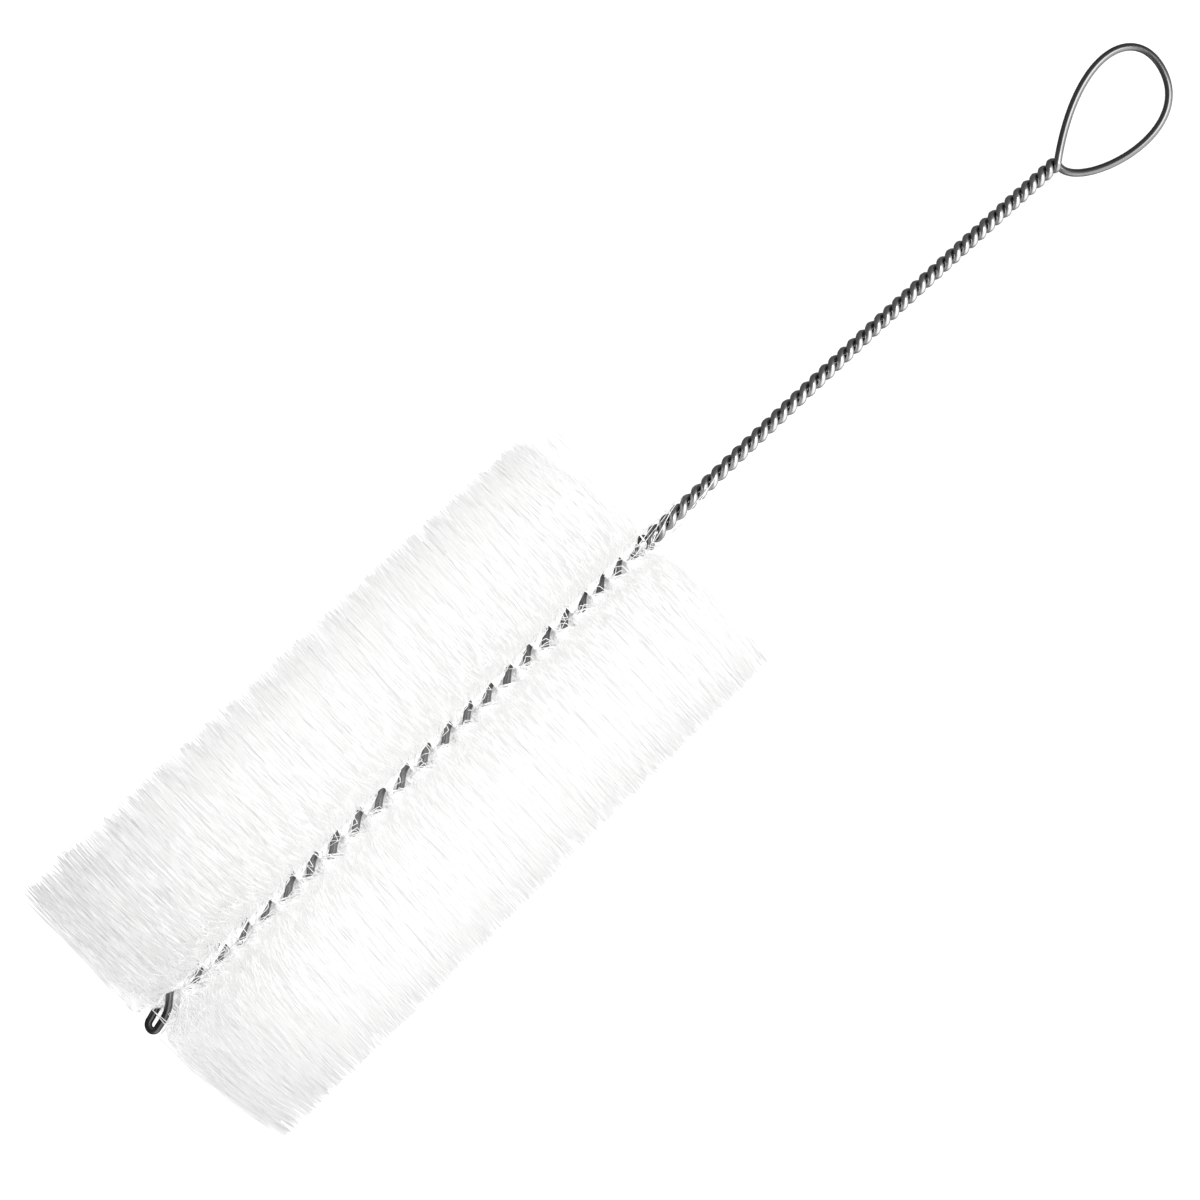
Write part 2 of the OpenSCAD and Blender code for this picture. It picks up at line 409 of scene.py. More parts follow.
@dataclass(frozen=True)
class WhiteNylon:
    """Stiff white nylon filament, with painted shade beside the wire and at the brush's tip, painted shadow
    dashes and a painted glow.

    Places that end in _x and _y are in metres. The others are on the way from a filament's middle, at 0, to
    its free end, at 1. A tone of 0 gives the painted shade grey and 1 the light colour.
    """

    # painted shade: the grey that the shade beside the wire, at the tip and in the dashes mixes into the
    # white
    shade_grey: Colour = (0.42, 0.43, 0.435, 1.0)
    light: Colour = (0.985, 0.985, 0.98, 1.0)
    roughness: float = 0.38
    specular: float = 0.2
    ior: float = 1.53
    # painted glow: the nylon glows though it is no lamp, which lightens its shade
    glow: float = 0.16
    # painted shade: filaments are greyer beside the wire, at 0, than out towards their free ends
    shade_tones: Stops = ((0.0, 0.5), (1.0, 1.15), (0.29, 0.78), (0.45, 1.05), (0.62, 1.3))
    # painted shade: the brush's tip is darker, where less light falls
    tip_shade_x: Pair = (-0.134, -0.075)
    tip_shade: float = -0.44
    tip_shade_from: Pair = (0.3, 0.6)
    # painted shadow dashes between the filaments: more on the +Y side and most beside the wire
    shadow_dash_scale: float = 32.0
    shadow_dash_y: Pair = (-0.008, 0.004)
    shadow_dash_depth: Pair = (0.6, 2.0)
    root_shadow_end: Pair = (0.5, 0.72)
    root_shadow_depth: float = 2.0
    # painted glow: stronger beside the wire, where it lightens the shade
    lift_end: Pair = (0.5, 0.85)
    root_lift: float = 1.45

    def make(self) -> Material:
        """Builds the finish on the filaments' UV map: u names the filament, v runs along it.

        Returns:
            The material.
        """
        plain = {"Roughness": self.roughness, "IOR": self.ior, "Specular_IOR_Level": self.specular}
        material, bench, shader = fresh_material("white_nylon", Emission_Strength=self.glow, **plain)
        place = bench.add("ShaderNodeTexCoord").outputs
        from_middle = bench.reckon("ABSOLUTE", bench.reckon("SUBTRACT", bench.parts(place["UV"])["Y"], 0.5))
        out = bench.reckon("MULTIPLY", from_middle, 2.0)
        sides = bench.parts(place["Object"])
        tone, depth = self.tone(bench, out, sides["X"]), self.depth(bench, out, sides["Y"])
        # painted shadow dashes: noise about the painted shade tone mixes the shade grey into the white
        shadow_dashes = bench.vary(place["UV"], self.shadow_dash_scale, tone, depth)
        colours = bench.add("ShaderNodeMix", data_type="RGBA", Factor=shadow_dashes, A=self.shade_grey, B=self.light)
        colour = colours.outputs["Result"]
        bench.feed(shader["Base Color"], colour)
        # painted glow: the emission follows the colour and is stronger beside the wire
        lift = bench.remap(out, self.lift_end, (self.root_lift, 1.0))
        lifted = bench.add("ShaderNodeVectorMath", operation="SCALE", Vector=colour, Scale=lift)
        bench.feed(shader["Emission Color"], lifted.outputs["Vector"])
        return material

    def tone(self, bench: NodeBench, out: Socket, x: Socket) -> Socket:
        """How light the filaments are along their length, with painted shade beside the wire and painted
        shade that darkens the brush's tip.
        """
        tip_shading = bench.remap(x, self.tip_shade_x, (self.tip_shade, 0.0)), bench.remap(out, self.tip_shade_from)
        return bench.reckon("MULTIPLY_ADD", *tip_shading, bench.greys(out, self.shade_tones))

    def depth(self, bench: NodeBench, out: Socket, y: Socket) -> Socket:
        """How strong the painted shadow dashes are: more on the +Y side, and most beside the wire."""
        rooted = bench.remap(out, self.root_shadow_end, (self.root_shadow_depth, 1.0))
        return bench.reckon("MULTIPLY", bench.remap(y, self.shadow_dash_y, self.shadow_dash_depth), rooted)


# The wire


@dataclass(frozen=True)
class Limb:
    """One limb of the ring, with its lead and swell as shares of the ring's length."""

    side: float
    slant_deg: float
    lead: float
    swell: float
    start: float = 0.0
    dip: float = 0.0


@dataclass
class TwistedWire:
    """One wire: folded at the tip, its legs twisted together, and its end bent round into the ring."""

    sizes: BrushSizes
    twist: Twist
    ring_w: float = 0.0187
    ring_shift: float = -0.0002
    ring_slant_deg: float = 14.5
    over: Limb = Limb(side=1.0, slant_deg=41.0, lead=0.88, swell=0.42)
    under: Limb = Limb(side=-1.0, slant_deg=108.0, lead=0.275, swell=0.606, start=0.0003, dip=0.0006)
    steps_per_turn: int = 24
    eye_steps: int = 10
    fold_steps: int = 18
    limb_steps: int = 48
    bevel_steps: int = 3

    def leg(self, side: float) -> Array:
        """Centre line of one leg from the fold to the last crossing.

        Args:
            side: 0 for the first leg, pi for the other.

        Returns:
            (n, 3) points in the straight brush's own directions.
        """
        twist, fill_s = self.twist, self.sizes.fill_s
        eye = np.linspace(twist.fold_s, fill_s, self.eye_steps, endpoint=False)
        first, last = twist.turns_to(fill_s), twist.turns[-1]
        rings = round((last - first) * self.steps_per_turn) + 1
        s = np.concatenate([eye, twist.station_at(np.linspace(first, last, rings))])
        return along(s) + twist.leg_radius(s)[:, None] * radial(twist.leg_angle(s) + side)

    def fold(self) -> Array:
        """Centre line of the half circle that joins the legs at the tip.

        Returns:
            (n, 3) points between the ends of the two legs.
        """
        twist = self.twist
        a = np.linspace(0.0, math.pi, self.fold_steps + 1)[1:-1]
        side = radial(twist.leg_angle(twist.fold_s))
        return along(twist.fold_s - twist.eye_r * np.sin(a)) + twist.eye_r * np.cos(a)[:, None] * side

    def limb_line(self, limb: Limb) -> Array:
        """Centre line of one limb from the crossing to the ring's far side, before it is stretched.

        Args:
            limb: the limb's shape.

        Returns:
            (n, 3) points, measured from the crossing.
        """
        ring_l, slant = self.twist.ring_l, math.radians(limb.slant_deg)
        tilt = math.radians(self.ring_slant_deg)
        ahead = np.array([math.cos(slant), limb.side * math.sin(slant), 0.0])
        crossing = np.array([0.0, 0.0, limb.side * self.twist.stem_r]) + limb.start * ahead
        far_side = np.array([ring_l, self.ring_shift, 0.0])
        before = far_side + limb.side * limb.swell * ring_l * np.array([math.sin(tilt), math.cos(tilt), 0.0])
        dip = np.array([0.0, 0.0, limb.dip])
        bends = [crossing, crossing + limb.lead * ring_l * ahead - dip, before, far_side]
        t = np.linspace(0.0, 1.0, self.limb_steps + 1)[:, None]
        weights = [(1 - t) ** 3, 3 * t * (1 - t) ** 2, 3 * t * t * (1 - t), t**3]
        return sum(w * bend for w, bend in zip(weights, bends))

    def ring(self) -> Array:
        """Centre line of the ring, stretched to its length and width.

        Returns:
            (n, 3) points from the cut end under the crossing to the first leg.
        """
        curve = np.concatenate([self.limb_line(self.under), self.limb_line(self.over)[-2::-1]])
        length = self.twist.ring_l - self.sizes.wire_r
        width = self.ring_w - 2 * self.sizes.wire_r
        stretch = np.array([length / curve[:, 0].max(), width / np.ptp(curve[:, 1]), 1.0])
        return along(self.twist.neck_s) + curve * stretch

    def centre_line(self) -> Array:
        """The whole wire from one cut end, round the ring, to the other cut end."""
        down = self.leg(0.0)[::-1]
        return np.concatenate([self.ring(), down[1:], self.fold(), self.leg(math.pi)])

    def build(self) -> Object:
        """Sweeps the wire's round section along its centre line.

        Returns:
            The wire as a mesh.
        """
        points = self.sizes.to_row(self.centre_line())
        bpy.ops.object.select_all(action="DESELECT")
        bpy.ops.curve.primitive_nurbs_path_add()
        wire = bpy.context.object
        wire.name = "steel_wire"
        curve = wire.data
        curve.splines.clear()
        spline = curve.splines.new("POLY")
        spline.points.add(len(points) - 1)
        spline.points.foreach_set("co", np.column_stack([points, np.ones(len(points))]).ravel())
        curve.twist_mode = "MINIMUM"
        curve.bevel_depth = self.sizes.wire_r
        curve.bevel_resolution = self.bevel_steps
        curve.use_fill_caps = True
        bpy.ops.object.convert(target="MESH")
        bpy.ops.object.shade_smooth()
        return wire

    def dress(self, wire: Object, steel: Material) -> None:
        """Gives the wire its finish and lets it stand for its node.

        Args:
            wire: the wire's mesh.
            steel: its finish.
        """
        wire.data.materials.clear()
        wire.data.materials.append(steel)
        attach(wire, BODY)
        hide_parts("twisted_wire")


# The filaments


@dataclass
class Filament:
    """One straight filament, drawn out ring by ring, that every other filament copies."""

    radius: float = 0.00009
    sides: int = 3
    rings: int = 15
    step: float = 0.004
    corners: Array = field(init=False)
    ring_of: Array = field(init=False)
    faces: list[tuple[int, ...]] = field(init=False)

    def __post_init__(self) -> None:
        """Models the filament and keeps its section corners, ring numbers and faces."""
        bpy.ops.object.select_all(action="DESELECT")
        bpy.ops.mesh.primitive_circle_add(vertices=self.sides, radius=self.radius, fill_type="NGON")
        piece = bpy.context.object
        bpy.ops.object.mode_set(mode="EDIT")
        for _ in range(self.rings - 1):
            bpy.ops.mesh.extrude_region_move(TRANSFORM_OT_translate={"value": (0, 0, self.step)})
        bpy.ops.mesh.select_all(action="SELECT")
        bpy.ops.mesh.normals_make_consistent(inside=False)
        bpy.ops.object.mode_set(mode="OBJECT")
        places = np.array([v.co for v in piece.data.vertices])
        self.corners = places[:, :2]
        self.ring_of = np.rint(places[:, 2] / self.step).astype(int)
        self.faces = [tuple(p.vertices) for p in piece.data.polygons]
        bpy.data.objects.remove(piece)

    def skin(self, paths: Array) -> Array:
        """Bends a copy of the filament along each path.

        Args:
            paths: (filaments, rings, 3) points.

        Returns:
            (filaments, corners, 3) corners of the copies.
        """
        ahead = np.gradient(paths, axis=1)
        ahead /= np.linalg.norm(ahead, axis=-1, keepdims=True)
        beside = np.cross(ahead, np.array([1.0, 0.0, 0.0]))
        beside /= np.linalg.norm(beside, axis=-1, keepdims=True)
        above = np.cross(ahead, beside)
        ring = self.ring_of
        sideways, upward = self.corners[:, 0, None], self.corners[:, 1, None]
        return paths[:, ring] + sideways * beside[:, ring] + upward * above[:, ring]


@dataclass(frozen=True)
class Profile:
    """Distances along the wire, in metres, at growing distances from it, on the -Y and the +Y side."""

    lower: Row
    upper: Row
    radii: Row = (0.003, 0.012, 0.021, 0.032)

    def at(self, rho: Array, facing: Array) -> Array:
        """The distance along the wire at distance rho from it, where facing is 1 for +Y and -1 for -Y."""
        low, high = (np.interp(rho, self.radii, side) for side in (self.lower, self.upper))
        return mix(low, high, (1 + facing) / 2)


@dataclass(frozen=True)
class Cut:
    """How the filaments are cut, in shares of the envelope's radius: first the +Y side, then the -Y side.

    A few are short by some share within short_by, and fewer still are long by long_by. Both sides are
    longer than the envelope by shares that change along the fill.
    """

    spread: Pair = (0.014, 0.006)
    short_chance: Pair = (0.10, 0.03)
    short_by: Pair = (0.02, 0.12)
    long_chance: float = 0.012
    long_by: float = 0.03
    longer_s: Row = (0.0, 0.040, 0.100, 0.127)
    longer: tuple[Row, ...] = ((0.06, 0.05, 0.035, 0.0), (0.0, 0.035, 0.055, 0.065))


@dataclass(frozen=True)
class Splay:
    """How the filaments stand out of line: locks turn together, and the ends of the fill are the loosest.

    A lock fans along the wire, and the further a filament faces from +Y, the more it fans by itself.
    """

    lock: int = 5
    strays_from_lock: int = 4
    lock_deg: float = 1.5
    own_deg: float = 2.4
    end_deg: float = 40.0
    tip_end_l: float = 0.007
    stem_end_l: float = 0.005
    fan: float = 0.0036
    own_fan: float = 0.0005
    upright_share: float = 0.75
    tip_share: float = 0.12
    loose_facing: float = 0.6
    least_loose: float = 0.35
    sideways: float = 0.0007
    ripple: float = 0.0003


@dataclass(frozen=True)
class Pressed:
    """Filaments pressed along the wire before they stand free: cords on its -Y side, tufts on its +Y side.

    Their angles about the wire are from +Y towards +Z. A few cords near the tip are laid nearer to its top,
    and a few filaments cross right over it. Lengths are in metres, and facing is 1 for +Y and -1 for -Y.
    """

    cord_facing: float = 0.3
    low_facing: float = -0.6
    cord_chance: float = 0.5
    cord_deg: float = 124.0
    cord_l: Pair = (0.0036, 0.0075)
    laid_chance: float = 0.1
    laid_deg: float = 116.0
    laid_r: float = 0.0055
    tuft_chance: float = 0.4
    tuft_lost: float = 0.8
    tuft_deg: float = 55.0
    tuft_l: float = 0.0042
    least_l: float = 0.0005
    least_up: float = 0.15
    clear_end: float = 0.001
    beyond: Pair = (0.0005, 0.0020)
    hug_share: Pair = (0.2, 0.7)
    hug_ring: int = 4
    longest_hug: float = 0.008
    slack_deg: float = 10.0
    strength: float = 0.85
    full_r: float = 0.0026
    fade_r: Pair = (0.0070, 0.0028)
    crossing_chance: float = 0.025
    crossing_deg: float = 90.0


@dataclass(frozen=True)
class Strays:
    """Long filaments that lie along the stem past the end of the fill, winding round it a little."""

    count: int = 14
    start: Pair = (0.0, 0.012)
    end: Pair = (0.002, 0.024)
    off_axis: float = 0.0018
    rise: float = 0.0007
    ripple: float = 0.0003
    ripples: float = 9.0
    phase: float = 6.0
    winding: Pair = (0.4, 1.0)
    windings: float = 4.0

    def paths(self, fill_end_s: float, rings: int, rng: Random) -> Array:
        """Centre lines of the strays in the straight brush.

        Args:
            fill_end_s: station where the fill ends.
            rings: points on each filament.
            rng: random numbers.

        Returns:
            (filaments, rings, 3) points.
        """
        column, t = (self.count, 1), np.linspace(0, 1, rings)[None]
        start = fill_end_s - rng.uniform(*self.start, column)
        s = mix(start, fill_end_s + rng.uniform(*self.end, column), t)
        away = self.off_axis + self.rise * t * rng.random(column)
        away = away + self.ripple * np.sin(self.ripples * t + rng.uniform(0, self.phase, column))
        turn = rng.uniform(0, math.tau, column) - rng.uniform(*self.winding, column) * t * self.windings
        return along(s) + away[..., None] * radial(turn)


@dataclass
class Half:
    """One side of each filament of a bundle: its arrays hold a row for each filament, in one column."""

    root: Array
    tip_d: Array
    stem_d: Array
    angle: Array
    swing: Array
    lock_of: Array
    locks: int
    near_tip: Array
    rng: Random

    @property
    def facing(self) -> Array:
        """How squarely each one points to +Y."""
        return np.cos(self.angle + self.swing)

    @property
    def up(self) -> Array:
        """How squarely each one points up."""
        return np.sin(self.angle + self.swing)

    def chance(self, share: float | Array) -> Array:
        """Picks a share of the filaments."""
        return self.rng.random(self.root.shape) < share

    def uniform(self, low: float, high: float) -> Array:
        """A number between low and high for each filament."""
        return self.rng.uniform(low, high, self.root.shape)

    def normal(self, spread: float) -> Array:
        """A number about 0 for each filament."""
        return self.rng.normal(0, spread, self.root.shape)


@dataclass
class Filaments:
    """Double-ended filaments, each held at its middle between the legs of the twist.

    The profiles say how far the filaments lean to the handle, and where the faces at both ends of the fill
    stand. A filament leaves the wire at mouth_r and has leaned out to its place after a few runs. Over the
    wire the filaments part by parting_y at the distances parting_r from it. Reach gives the points of one
    side as shares of its length.
    """

    sizes: BrushSizes
    twist: Twist
    cut: Cut = Cut()
    splay: Splay = Splay()
    pressed: Pressed = Pressed()
    strays: Strays = Strays()
    per_bundle: int = 405
    mouth_r: float = 0.0021
    hug_r: float = 0.0028
    hug_early: float = 0.0002
    free_r: float = 0.0051
    lean: Profile = Profile(lower=(0.0042, 0.0050, 0.0054, 0.0052), upper=(0.0022, 0.0037, 0.0042, 0.0045))
    tip_face: Profile = Profile(lower=(0.0010, 0.0014, 0.0026, 0.0058), upper=(0.0004, 0.001, 0.0014, 0.0012))
    stem_face: Profile = Profile(lower=(0.1342, 0.135, 0.1356, 0.1338), upper=(0.13, 0.1315, 0.132, 0.1282))
    tip_zone: float = 0.020
    stem_zone: float = 0.022
    early: float = 0.0025
    rim_r: float = 0.032
    upright_lean: float = 0.3
    run_upper: Pair = (0.0016, 0.0042)
    run_lower: Pair = (0.0008, 0.0022)
    run_tip: float = 0.0009
    run_tip_l: Pair = (0.009, 0.003)
    near_tip_l: Pair = (0.039, 0.009)
    reach: Row = (0.0, 0.066, 0.078, 0.09, 0.14, 0.28, 0.62, 1.0)
    root_swing: float = 0.35
    parting_r: Row = (0.0021, 0.0026, 0.0045, 0.009, 0.032)
    parting_y: Row = (0.0, 0.0015, 0.0021, 0.0026, 0.0045)
    parting_spread: float = 0.12
    parting_up: float = 2 / 3
    parting_core: float = 0.0005
    parting_most: float = 0.99
    tone_spread: float = 0.006
    off_floor: float = 1.1
    seed: int = 20

    def build(self, bundle: int, filament: Filament) -> Object:
        """Makes the filaments of one bundle as one mesh.

        Args:
            bundle: its number, from 0 at the tip.
            filament: the straight filament that is copied.

        Returns:
            The bundle's mesh object.
        """
        rng = np.random.default_rng([self.seed, bundle])
        paths = self.paths(bundle, filament.rings, rng)
        if bundle == self.sizes.bundles - 1:
            strays = self.strays.paths(self.sizes.fill_end_s, filament.rings, rng)
            paths = np.concatenate([paths, strays])
        paths = self.sizes.to_row(paths)
        paths[..., 2] = np.maximum(paths[..., 2], filament.radius * self.off_floor)
        mesh = self.copies(f"filaments_{bundle + 1:02d}", filament, filament.skin(paths))
        self.map_finish(mesh, filament, len(paths), rng)
        mesh.validate()
        piece = bpy.data.objects.new(mesh.name, mesh)
        bpy.context.scene.collection.objects.link(piece)
        return piece

    def paths(self, bundle: int, rings: int, rng: Random) -> Array:
        """Centre lines of one bundle's filaments in the straight brush.

        Args:
            bundle: its number.
            rings: points on each filament, from one free end to the other.
            rng: the bundle's own random numbers.

        Returns:
            (filaments, rings, 3) points.
        """
        sizes, twist, count = self.sizes, self.twist, self.per_bundle
        first, last = twist.turns_to(sizes.fill_s - self.early), twist.turns_to(sizes.fill_end_s)
        share = (bundle + (np.arange(count) + rng.random(count)) / count) / sizes.bundles
        root = twist.station_at(mix(first, last, share))[:, None]
        ends = len(self.reach) - 1
        path = np.zeros((count, rings, 3))
        path[:, : ends + 1] = self.side(self.aimed(root, -1.0, rng))[:, ::-1]
        path[:, ends + 1 :] = self.side(self.aimed(root, 1.0, rng))[:, 1:]
        return path

    def side(self, half: Half) -> Array:
        """Centre lines of one side of the filaments, from the wire to their free ends.

        Args:
            half: the filaments' half.

        Returns:
            (filaments, points, 3) points.
        """
        fan = self.fanned(half)
        rho = np.array(self.reach) * self.lengths(half, fan)
        held = self.held(half)
        x = self.stations(half, rho, fan, held)
        angle = self.angles(half, rho, held)
        bend = np.sin(math.pi * np.array(self.reach)) * self.freed(rho)
        sideways = half.normal(self.splay.sideways) * bend
        x = x + half.normal(self.splay.ripple) * bend
        return along(x) + rho[..., None] * radial(angle) + sideways[..., None] * radial(angle + math.pi / 2)

    def aimed(self, root: Array, side: float, rng: Random) -> Half:
        """Picks the way in which one side of each filament leaves the wire.

        Args:
            root: station of each filament.
            side: +1 or -1 for the two ends of a filament.
            rng: random numbers.

        Returns:
            The filaments' half.
        """
        splay, count = self.splay, len(root)
        locks = count // splay.lock + 1
        moved = rng.integers(-splay.strays_from_lock, splay.strays_from_lock + 1, root.shape)
        lock_of = np.minimum((np.arange(count)[:, None] + moved) // splay.lock, locks - 1)
        tip_d, stem_d = root - self.sizes.fill_s, self.sizes.fill_end_s - root
        at_end = np.clip(np.maximum(1 - tip_d / splay.tip_end_l, 1 - stem_d / splay.stem_end_l), 0, 1)
        swing = rng.normal(0, math.radians(splay.lock_deg), locks)[lock_of]
        loose = math.radians(splay.own_deg) + math.radians(splay.end_deg) * at_end
        swing = swing + rng.normal(0, 1, root.shape) * loose
        angle = self.twist.leg_angle(root) + side * math.pi / 2
        near_tip = eased(tip_d, *self.near_tip_l)
        return Half(root, tip_d, stem_d, angle, swing, lock_of, locks, near_tip, rng)

    def fanned(self, half: Half) -> Array:
        """How far each filament fans along the wire: less near the tip, so that its face stays full.

        Args:
            half: the filaments' half.

        Returns:
            Distances along the wire at the free ends.
        """
        splay = self.splay
        loose = np.clip(splay.loose_facing - half.facing, splay.least_loose, 1)
        with_lock = half.rng.uniform(-1, 1, half.locks)[half.lock_of]
        fan = mix(with_lock, half.uniform(-1, 1), loose) * splay.fan
        fan = (fan + half.normal(splay.own_fan)) * mix(splay.upright_share, 1.0, np.abs(half.facing))
        return fan * np.clip((half.tip_d + self.early) / splay.fan, splay.tip_share, 1)

    def lengths(self, half: Half, fan: Array) -> Array:
        """How long the filaments are.

        Args:
            half: the filaments' half.
            fan: how far each one fans along the wire.

        Returns:
            Distances from the wire to the free ends.
        """
        cut, upper = self.cut, half.facing > 0
        short = half.chance(np.where(upper, *cut.short_chance))
        trim = half.rng.normal(1.0, np.where(upper, *cut.spread))
        trim = trim - short * half.uniform(*cut.short_by)
        trim = np.minimum(trim + half.chance(cut.long_chance) * cut.long_by, 1 + cut.long_by)
        longer = [np.interp(half.root, cut.longer_s, shares) for shares in cut.longer]
        trim = trim + half.facing**2 * np.where(upper, *longer)
        rim = self.station_of(half.root + fan, np.full(half.root.shape, self.rim_r), half.facing)
        return self.sizes.bristle_radius(rim) * trim

    def station_of(self, place: Array, rho: Array, facing: Array) -> Array:
        """Where filaments stand along the wire, once they are clear of it.

        Args:
            place: each filament's own place along the fill.
            rho: distances from the wire.
            facing: 1 for a filament on the +Y side, -1 on the other.

        Returns:
            Stations of rho's shape: leaning to the handle, and turned to the faces at the ends of the fill.
        """
        first = self.sizes.fill_s - self.early
        last = self.sizes.fill_end_s + self.splay.fan / 2
        tip_edge, stem_edge = first + self.tip_zone, last - self.stem_zone
        from_tip = np.clip((place - first) / self.tip_zone, 0, 1)
        from_stem = np.clip((last - place) / self.stem_zone, 0, 1)
        station = np.clip(place, tip_edge, stem_edge) + self.lean.at(rho, facing)
        station = mix(self.tip_face.at(rho, facing), station, from_tip)
        return mix(self.stem_face.at(rho, facing), station, from_stem)

    def held(self, half: Half) -> Array:
        """Picks the filaments that are pressed along the wire.

        Args:
            half: the filaments' half.

        Returns:
            True for each one that is.
        """
        pressed = self.pressed
        tuft_chance = pressed.tuft_chance * (1 - pressed.tuft_lost * half.near_tip)
        held = half.chance(np.where(half.facing < pressed.cord_facing, pressed.cord_chance, tuft_chance))
        inside = np.minimum(half.stem_d, half.tip_d) > pressed.clear_end
        return held & inside & (half.up > pressed.least_up)

    def stations(self, half: Half, rho: Array, fan: Array, held: Array) -> Array:
        """Stations of the filaments' points: some hug the wire first, and then all lean out to their places.

        Args:
            half: the filaments' half.
            rho: distances from the wire.
            fan: how far each one fans along the wire.
            held: which ones are pressed along the wire.

        Returns:
            Values of rho's shape.
        """
        pressed, root, facing, up = self.pressed, half.root, half.facing, half.up
        lean = self.station_of(root, rho, facing) - root
        fanned = self.station_of(root + fan, rho, facing) - root - lean
        lost = np.where((lean < 0) & (up > 0), 1.0, 1 - self.upright_lean)
        lean = lean * (1 - lost * up**4) + fanned
        low = eased(facing, pressed.cord_facing, pressed.low_facing)
        longest = np.where(facing < pressed.cord_facing, mix(*pressed.cord_l, half.near_tip), pressed.tuft_l)
        hug = np.clip(lean[:, pressed.hug_ring, None], 0, pressed.longest_hug)
        hug = hug * low * half.uniform(*pressed.hug_share)
        hug = np.where(held, mix(pressed.least_l, longest, half.uniform(0, 1)), hug)
        lean = np.where(held, np.maximum(lean, hug + half.uniform(*pressed.beyond)), lean)
        run = mix(half.uniform(*self.run_upper), half.uniform(*self.run_lower), low)
        run = mix(run, self.run_tip, eased(half.tip_d, *self.run_tip_l))
        clear = np.maximum(rho - mix(self.mouth_r, self.hug_r, low), 0)
        out = eased(rho + self.hug_early, self.mouth_r, self.hug_r)
        return root + hug * out + (lean - hug) * (1 - np.exp(-clear / run))

    def freed(self, rho: Array) -> Array:
        """How free the filaments are at distances rho from the wire, from 0 to 1."""
        return eased(rho, self.mouth_r, self.free_r)

    def angles(self, half: Half, rho: Array, held: Array) -> Array:
        """Angles of the filaments' points about the axis.

        Args:
            half: the filaments' half.
            rho: distances from the wire.
            held: which ones are pressed along the wire.

        Returns:
            Values of rho's shape: the pressed ones are pulled over the wire, and the rest part along it.
        """
        pressed, cord = self.pressed, half.facing < self.pressed.cord_facing
        crossing = half.chance(pressed.crossing_chance)
        swung = mix(self.root_swing, 1.0, eased(np.array(self.reach), 0.0, 1.0))
        angle = half.angle + half.swing * self.freed(rho) * swung
        laid = held & cord & half.chance(pressed.laid_chance * half.near_tip)
        over = np.where(laid, pressed.laid_deg, np.where(cord, pressed.cord_deg, pressed.tuft_deg))
        over = np.radians(np.where(crossing, pressed.crossing_deg, over) + half.normal(pressed.slack_deg))
        pull = pressed.strength * held * eased(rho, self.mouth_r, pressed.full_r)
        pull = pull * eased(rho, *pressed.fade_r)
        bent = over - angle
        angle = angle + pull * (bent - math.tau * np.round(bent / math.tau))
        side = np.sign(half.facing + half.normal(self.parting_spread))
        whole = crossing | (laid & (rho < pressed.laid_r))
        return np.where(whole, angle, self.parted(angle, rho, side))

    def parted(self, angle: Array, rho: Array, side: Array) -> Array:
        """Turns the filaments that stand over the wire aside, so that they part along it.

        Args:
            angle: angles about the axis.
            rho: distances from the axis.
            side: 1 for filaments that fall to +Y, -1 for the others.

        Returns:
            The new angles.
        """
        across = np.cos(angle)
        upright = eased(np.sin(angle), 0.0, self.parting_up)
        gap = np.interp(rho, self.parting_r, self.parting_y) / np.maximum(rho, self.parting_core) * upright
        aside = side * np.minimum(np.sqrt(across**2 + gap**2), self.parting_most)
        return np.where(upright > 0, np.arccos(aside), angle)

    def copies(self, name: str, filament: Filament, places: Array) -> bpy.types.Mesh:
        """Makes one mesh of many copies of the filament.

        Args:
            name: the mesh's name.
            filament: the straight filament.
            places: (filaments, corners, 3) corners of the copies.

        Returns:
            The mesh.
        """
        count, corners = places.shape[:2]
        sizes = np.tile([len(face) for face in filament.faces], count)
        loops = np.concatenate(filament.faces)[None] + corners * np.arange(count)[:, None]
        mesh = bpy.data.meshes.new(name)
        mesh.vertices.add(count * corners)
        mesh.vertices.foreach_set("co", places.astype(np.float32).ravel())
        mesh.loops.add(loops.size)
        mesh.loops.foreach_set("vertex_index", loops.ravel().astype(np.int32))
        mesh.polygons.add(len(sizes))
        starts = np.concatenate([[0], np.cumsum(sizes)[:-1]])
        mesh.polygons.foreach_set("loop_start", starts.astype(np.int32))
        mesh.polygons.foreach_set("use_smooth", [True] * len(sizes))
        mesh.update(calc_edges=True)
        return mesh

    def map_finish(self, mesh: bpy.types.Mesh, filament: Filament, count: int, rng: Random) -> None:
        """Gives the mesh its UV map: u names the lock and the filament, v runs along it.

        Args:
            mesh: the bundle's mesh.
            filament: the straight filament.
            count: how many copies the mesh holds.
            rng: random numbers.
        """
        loops = np.concatenate(filament.faces)
        lock = rng.random(count // self.splay.lock + 1)[np.arange(count) // self.splay.lock]
        tone = np.repeat(lock + rng.normal(0, self.tone_spread, count), len(loops))
        run = np.tile(filament.ring_of[loops] / (filament.rings - 1), count)
        uv = mesh.uv_layers.new(name="filament")
        uv.data.foreach_set("uv", np.column_stack([tone, run]).astype(np.float32).ravel())

    def dress(self, bundle: int, piece: Object, nylon: Material) -> None:
        """Gives a bundle its finish and lets it stand for its node.

        Args:
            bundle: its number, from 0 at the tip.
            piece: its mesh object.
            nylon: its finish.
        """
        piece.data.materials.append(nylon)
        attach(piece, BODY)
        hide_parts(f"bristle_bundle_{bundle + 1:02d}")


# The studio


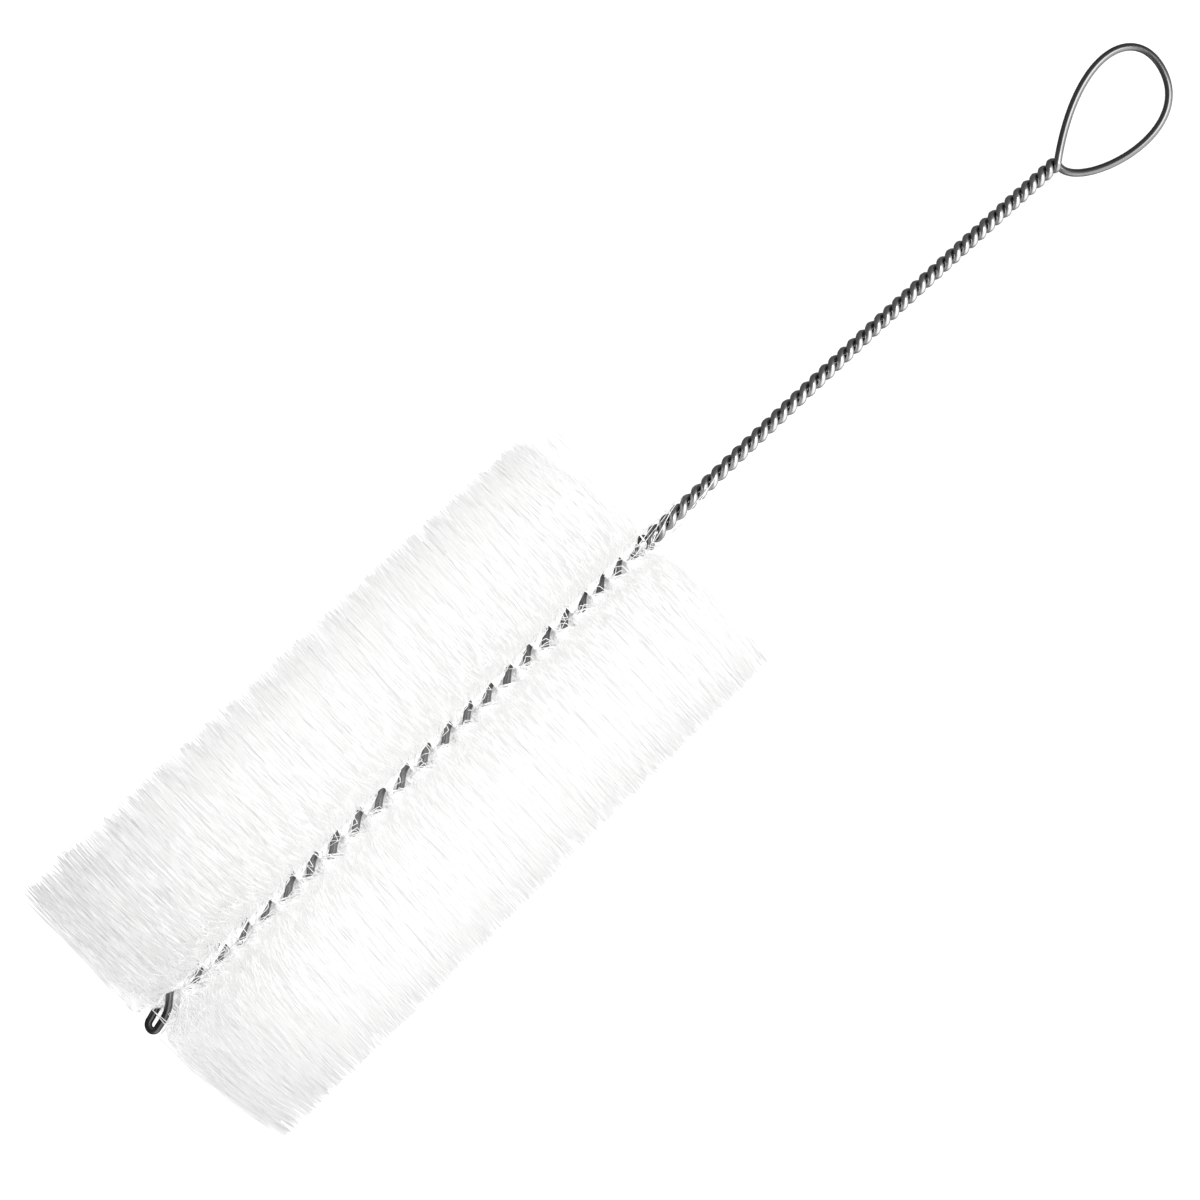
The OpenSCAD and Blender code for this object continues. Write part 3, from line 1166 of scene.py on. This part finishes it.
@dataclass(frozen=True)
class SoftLight:
    """A soft square light that faces the brush, with its place, its width and its power in watts."""

    name: str
    at: Triple
    width: float
    power: float

    def hang(self) -> Object:
        """Adds the light.

        Returns:
            The light's object.
        """
        bpy.ops.object.light_add(type="AREA", location=self.at)
        light = bpy.context.object
        light.name = self.name
        light.data.size = self.width
        light.data.energy = self.power
        light.rotation_euler = (-Vector(self.at)).to_track_quat("-Z", "Y").to_euler()
        return light


@dataclass
class Studio:
    """A pale floor, soft lights and a camera that looks straight down on the brush.

    The surroundings are the tones that the steel mirrors, from the far side to the bright side.
    """

    heading_deg: float = 43.395
    frame_w: float = 0.2281
    distance: float = 1.1
    sensor_mm: float = 36.0
    aim: Triple = (-0.0149, 0.00011, 0.031)
    floor_w: float = 6.0
    floor_tone: float = 0.92
    floor_glow: float = 0.3
    floor_roughness: float = 0.9
    overhead: SoftLight = SoftLight("overhead", at=(0.0, 0.0, 2.0), width=0.5, power=25.2)
    key: SoftLight = SoftLight("key", at=(0.54, -0.51, 1.07), width=0.8, power=8.0)
    ambient: float = 0.43
    bright_side: Triple = (0.14, -0.93, 0.34)
    surroundings: Stops = ((0.0, 0.18), (1.0, 2.6), (0.5, 0.26), (0.68, 0.45), (0.80, 1.35), (0.9, 2.5))

    def place_floor(self) -> None:
        """Lays a wide pale floor under the brush."""
        bpy.ops.object.select_all(action="DESELECT")
        bpy.ops.mesh.primitive_plane_add(size=self.floor_w, location=(0, 0, 0))
        floor = bpy.context.object
        floor.name = "floor"
        matt = {"Base_Color": grey(self.floor_tone), "Roughness": self.floor_roughness}
        glow = {"Emission_Color": grey(1.0), "Emission_Strength": self.floor_glow}
        floor.data.materials.append(fresh_material("pale_floor", **matt, **glow)[0])
        floor.visible_glossy = False

    def place_lights(self) -> None:
        """Hangs the overhead light, which fills evenly, and the key light, which only the gloss shows."""
        self.overhead.hang().visible_glossy = False
        self.key.hang().visible_diffuse = False

    def place_surroundings(self) -> None:
        """Gives matt surfaces an even light, and the steel a bright and a dark side to mirror."""
        world = bpy.data.worlds.new("surroundings")
        world.use_nodes = True
        bench = NodeBench(world.node_tree)
        ahead = bench.add("ShaderNodeTexCoord").outputs["Generated"]
        aside = bench.add("ShaderNodeVectorMath", operation="DOT_PRODUCT", Vector=ahead)
        bench.feed(aside.inputs[1], self.bright_side)
        mirrored = bench.greys(bench.remap(aside.outputs["Value"], (-1.0, 1.0)), self.surroundings)
        matt = bench.add("ShaderNodeLightPath").outputs["Is Diffuse Ray"]
        seen = bench.add("ShaderNodeMix", data_type="RGBA", Factor=matt, A=mirrored, B=grey(self.ambient))
        bench.feed(world.node_tree.nodes["Background"].inputs["Color"], seen.outputs["Result"])
        world.cycles.sampling_method = "NONE"
        bpy.context.scene.world = world
        bpy.context.scene.view_settings.view_transform = "Standard"

    def place_camera(self) -> None:
        """Points the camera straight down, turned so that the ring lies at the upper right."""
        data = bpy.data.cameras.new("camera")
        data.sensor_width = self.sensor_mm
        data.lens = self.sensor_mm * self.distance / self.frame_w
        camera = bpy.data.objects.new("camera", data)
        bpy.context.scene.collection.objects.link(camera)
        camera.location = Vector(self.aim) + Vector((0, 0, self.distance))
        camera.rotation_euler = (0, 0, -math.radians(self.heading_deg))
        bpy.context.scene.camera = camera


def main() -> None:
    """Builds and dresses the brush piece by piece, and sets the studio."""
    logging.basicConfig(level=logging.INFO, format="%(name)s: %(message)s")
    sizes = BrushSizes()
    twist = Twist(sizes)
    studio = Studio()
    studio.place_camera()
    studio.place_floor()
    studio.place_lights()
    studio.place_surroundings()

    maker = TwistedWire(sizes, twist)
    wire = maker.build()
    maker.dress(wire, DrawnSteel().make())
    log.info("%s: %d faces", wire.name, len(wire.data.polygons))

    filament = Filament()
    nylon = WhiteNylon().make()
    filaments = Filaments(sizes, twist)
    for bundle in range(sizes.bundles):
        piece = filaments.build(bundle, filament)
        filaments.dress(bundle, piece, nylon)
        log.info("%s: %d faces", piece.name, len(piece.data.polygons))


if __name__ == "__main__":
    main()
